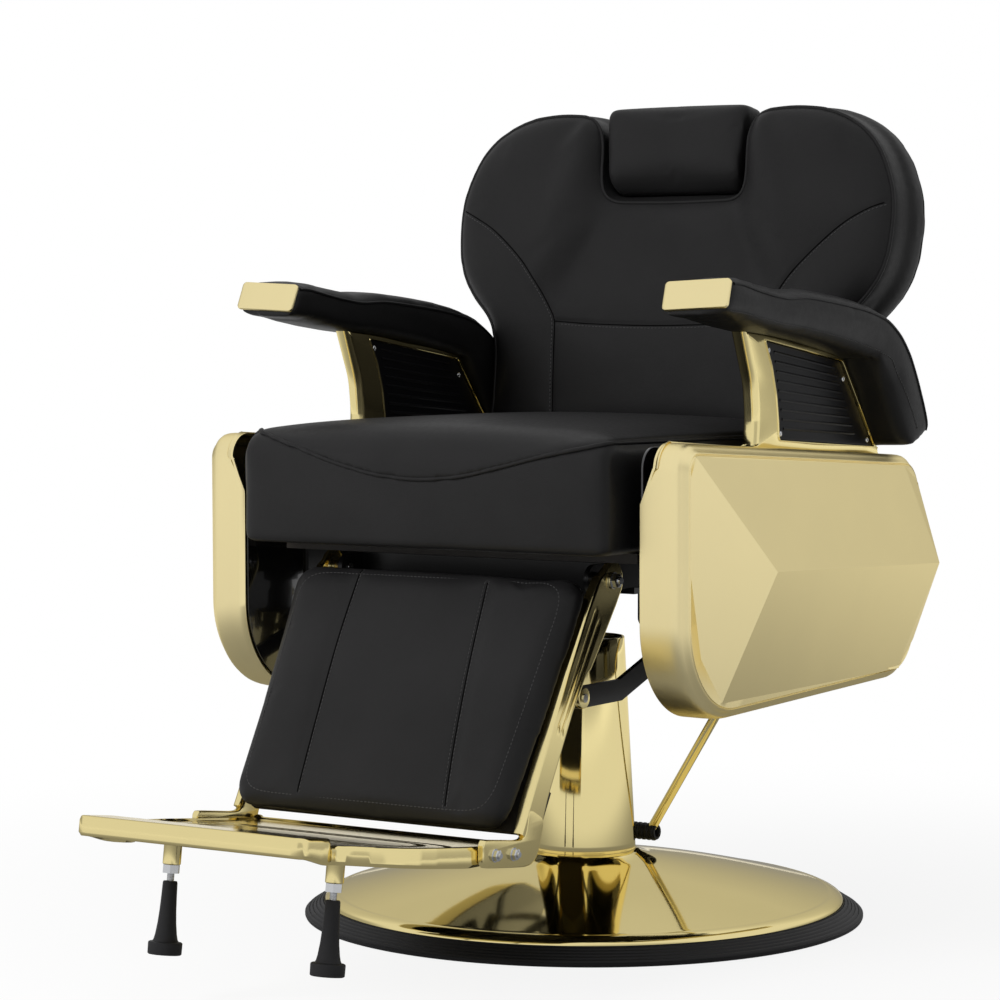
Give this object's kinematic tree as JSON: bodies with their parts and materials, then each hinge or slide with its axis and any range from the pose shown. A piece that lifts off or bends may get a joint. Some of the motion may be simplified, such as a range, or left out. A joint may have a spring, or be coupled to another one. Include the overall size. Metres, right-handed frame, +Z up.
{
  "type": "hydraulic barber chair",
  "caption": "Hydraulic barber chair with a reclining back, linked footrest with feet, sliding headrest, padded arms and faceted side panels on a round pump base.",
  "frame": {"origin": "on the floor, at the middle of the flat underside of the base, on the swivel axis", "axes": "+Z up along the swivel axis, -Y to the front (towards the footplate), +X to the sitter's left"},
  "size_m": [0.736, 1.1591, 1.0152],
  "materials": {
    "black_rubber": "matte",
    "steel_plate": "satin",
    "gold_polished": "polished",
    "gold_pressed": "polished",
    "gold_cast": "gloss",
    "gold_satin": "satin",
    "zinc_fasteners": "gloss",
    "chrome": "polished",
    "black_steel": "satin",
    "black_gloss_plate": "gloss",
    "black_plastic": "matte",
    "black_board": "matte",
    "black_upholstery": "satin"
  },
  "bodies": {
    "base": {"base_ring": "black_rubber", "base_plate": "steel_plate", "base_disc": "gold_polished", "pump_cover": "gold_polished", "pump_barrel": "steel_plate", "barrel_bolts": "zinc_fasteners"},
    "lift": {"pump_ram": "chrome"},
    "seat": {"pump_head": "black_steel", "lever_pin": "zinc_fasteners", "seat_frame": "black_steel", "frame_bolts": "zinc_fasteners", "seat_board": "black_board", "seat_cushion": "black_upholstery", "footrest_pivot_bolts": "zinc_fasteners", "back_hinge_pins": "zinc_fasteners", "recline_clamp_stud": "zinc_fasteners", "side_plate_left": "black_gloss_plate", "side_plate_right": "black_gloss_plate", "side_panel_left": "gold_satin", "side_panel_right": "gold_satin", "arm_frame_left": "gold_cast", "arm_frame_right": "gold_cast", "arm_insert_left": "black_plastic", "arm_insert_right": "black_plastic", "arm_screws_left": "zinc_fasteners", "arm_screws_right": "zinc_fasteners", "arm_pad_left": "black_upholstery", "arm_pad_right": "black_upholstery", "arm_cap_left": "gold_satin", "arm_cap_right": "gold_satin"},
    "pump_lever": {"pump_lever": "gold_polished", "lever_grip": "black_rubber"},
    "recline_handle": {"recline_handle": "zinc_fasteners", "handle_knob": "black_plastic"},
    "backrest": {"back_frame": "black_steel", "back_board": "black_board", "back_cushion": "black_upholstery", "headrest_guides": "black_steel"},
    "headrest": {"headrest_posts": "chrome", "headrest_pad": "black_upholstery"},
    "footrest": {"footrest_arm_left": "gold_pressed", "footrest_arm_right": "gold_pressed", "leg_pad_board": "black_board", "leg_pad": "black_upholstery", "footplate": "gold_cast", "footplate_bolts": "zinc_fasteners", "foot_bosses": "gold_pressed", "link_bolts": "zinc_fasteners"},
    "link_left": {"link_left": "black_steel"},
    "link_right": {"link_right": "black_steel"},
    "support_foot_left": {"support_foot_left": "black_rubber", "foot_nut_left": "zinc_fasteners"},
    "support_foot_right": {"support_foot_right": "black_rubber", "foot_nut_right": "zinc_fasteners"}
  },
  "joints": [
    {"name": "seat_lift", "type": "slide", "parent": "base", "child": "lift", "axis": [0, 0, 1], "range_m": [0, 0.15]},
    {"name": "seat_swivel", "type": "hinge", "parent": "lift", "child": "seat", "pos_m": [0, 0, 0.4], "axis": [0, 0, 1], "continuous": true},
    {"name": "pump_lever_stroke", "type": "hinge", "parent": "seat", "child": "pump_lever", "pos_m": [0.055, 0.08, 0.37], "axis": [0, -1, 0], "range_deg": [0, 22]},
    {"name": "recline_handle_turn", "type": "hinge", "parent": "seat", "child": "recline_handle", "pos_m": [-0.21, 0.23629, 0.4675], "axis": [1, 0, 0], "range_deg": [0, 35]},
    {"name": "back_recline", "type": "hinge", "parent": "seat", "child": "backrest", "pos_m": [0, 0.18, 0.5], "axis": [-1, 0, 0], "range_deg": [0, 45]},
    {"name": "headrest_slide", "type": "slide", "parent": "backrest", "child": "headrest", "axis": [0, 0.1392, 0.9903], "range_m": [0, 0.11]},
    {"name": "footrest_lift", "type": "hinge", "parent": "seat", "child": "footrest", "pos_m": [0, -0.267, 0.446], "axis": [-1, 0, 0], "range_deg": [0, 29.7]},
    {"name": "link_left_pivot", "type": "hinge", "parent": "footrest", "child": "link_left", "pos_m": [0.187, -0.32607, 0.31577], "axis": [-1, 0, 0], "range_deg": [-27.46, 0]},
    {"name": "link_right_pivot", "type": "hinge", "parent": "footrest", "child": "link_right", "pos_m": [-0.187, -0.32607, 0.31577], "axis": [-1, 0, 0], "range_deg": [-27.46, 0]},
    {"name": "support_foot_left_screw", "type": "slide", "parent": "footrest", "child": "support_foot_left", "axis": [0, -0.1392, -0.9903], "range_m": [0, 0.012]},
    {"name": "support_foot_right_screw", "type": "slide", "parent": "footrest", "child": "support_foot_right", "axis": [0, -0.1392, -0.9903], "range_m": [0, 0.012]}
  ],
  "couplings": [
    {"joint": "footrest_lift", "follows": "back_recline", "ratio": 0.66},
    {"joint": "link_left_pivot", "follows": "back_recline", "ratio": -0.61},
    {"joint": "link_right_pivot", "follows": "back_recline", "ratio": -0.61}
  ]
}
